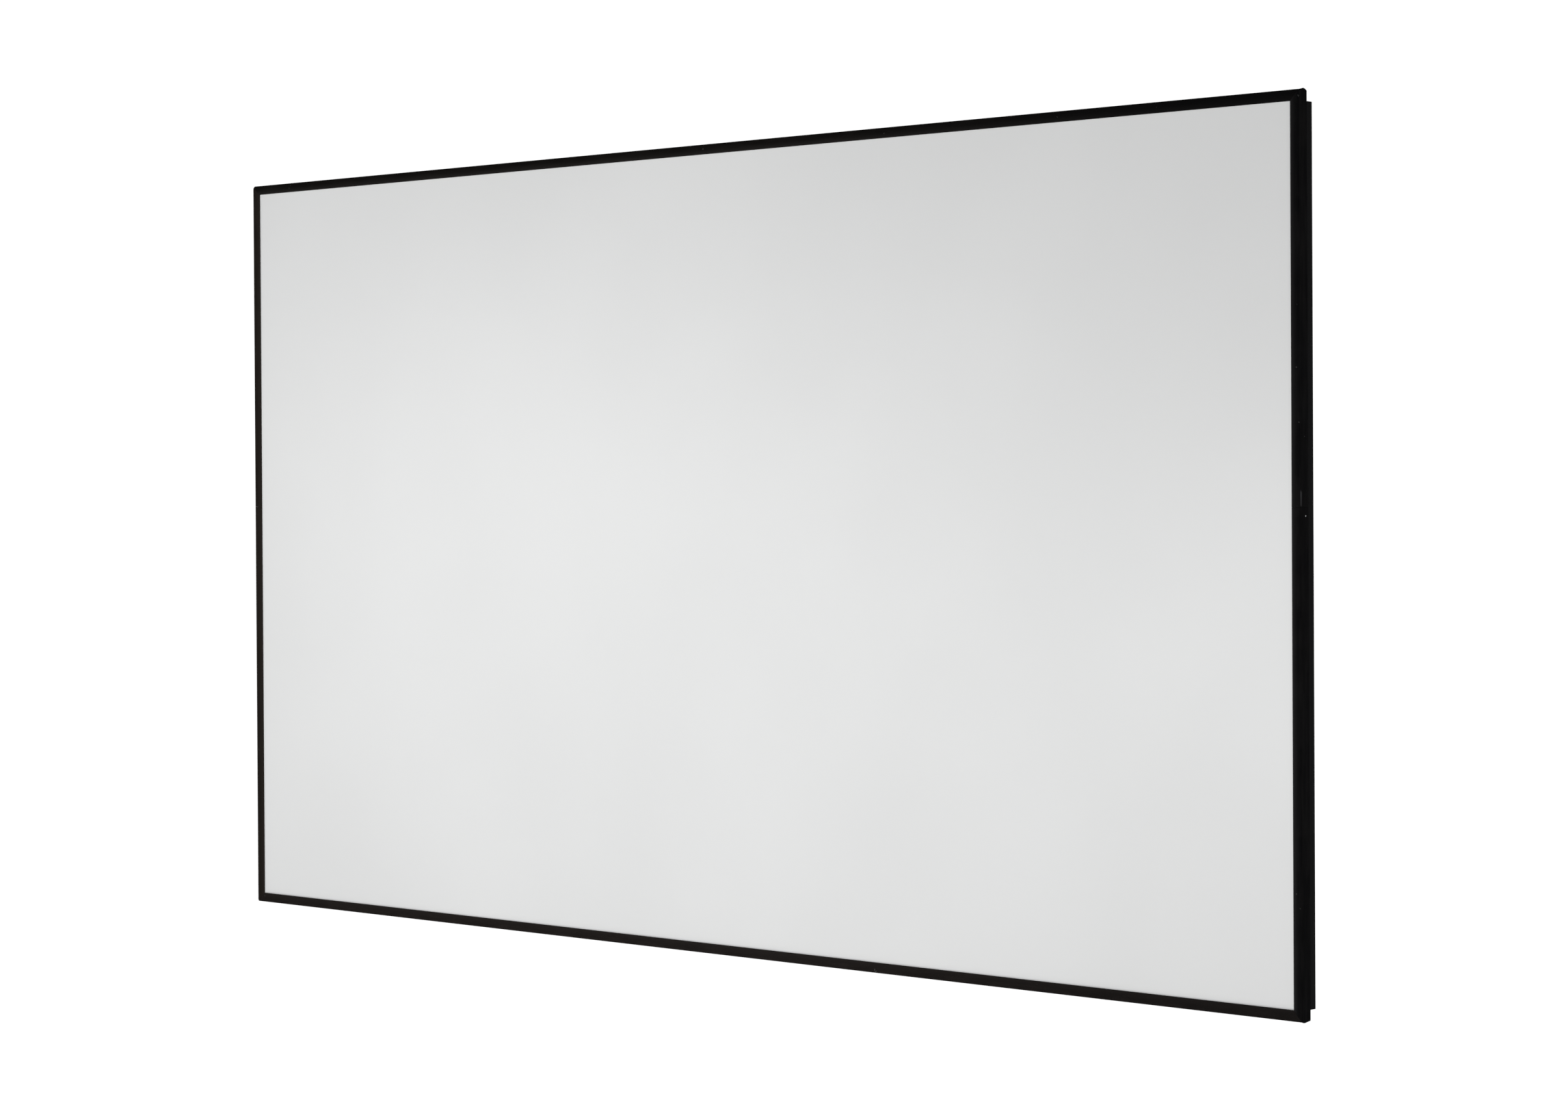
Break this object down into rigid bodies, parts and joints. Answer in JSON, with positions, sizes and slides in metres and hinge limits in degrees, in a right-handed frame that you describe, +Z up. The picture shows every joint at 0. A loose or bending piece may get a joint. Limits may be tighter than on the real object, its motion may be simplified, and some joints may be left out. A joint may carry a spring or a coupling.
{
  "type": "fixed frame projector screen",
  "caption": "Wide flat projection screen: white fabric stretched over a slim black velvet covered frame, for hanging on a wall.",
  "frame": {"origin": "middle of the screen's outline, on the wall plane that the back of the centre brace lies on", "axes": "+Z up, +X to the right of someone who looks at the screen, -Y out of the screen towards that person, +Y into the wall"},
  "size_m": [2.244, 0.035, 1.275],
  "materials": {
    "velvet": "matte",
    "screen": "matte",
    "rail": "satin",
    "key": "matte",
    "plastic": "matte",
    "steel": "satin"
  },
  "bodies": {
    "root": {"bezel_top_left": "velvet", "bezel_top_right": "velvet", "bezel_bottom_left": "velvet", "bezel_bottom_right": "velvet", "bezel_left_upper": "velvet", "bezel_left_lower": "velvet", "bezel_right_upper": "velvet", "bezel_right_lower": "velvet", "rail_top_left": "rail", "rail_top_right": "rail", "rail_bottom_left": "rail", "rail_bottom_right": "rail", "rail_left_upper": "rail", "rail_left_lower": "rail", "rail_right_upper": "rail", "rail_right_lower": "rail", "corner_block_top_left": "plastic", "corner_block_top_right": "plastic", "corner_block_bottom_left": "plastic", "corner_block_bottom_right": "plastic", "corner_key_top_left": "key", "corner_key_top_right": "key", "corner_key_bottom_left": "key", "corner_key_bottom_right": "key", "splice_key_top": "key", "splice_key_bottom": "key", "splice_key_left": "key", "splice_key_right": "key", "centre_brace": "rail", "brace_end_top": "plastic", "brace_end_bottom": "plastic", "screen_fabric": "screen", "tension_rod_top": "steel", "tension_rod_bottom": "steel", "tension_rod_left": "steel", "tension_rod_right": "steel", "wall_hanger_left": "steel", "wall_hanger_right": "steel", "wall_clip_left": "steel", "wall_clip_right": "steel"}
  },
  "joints": []
}
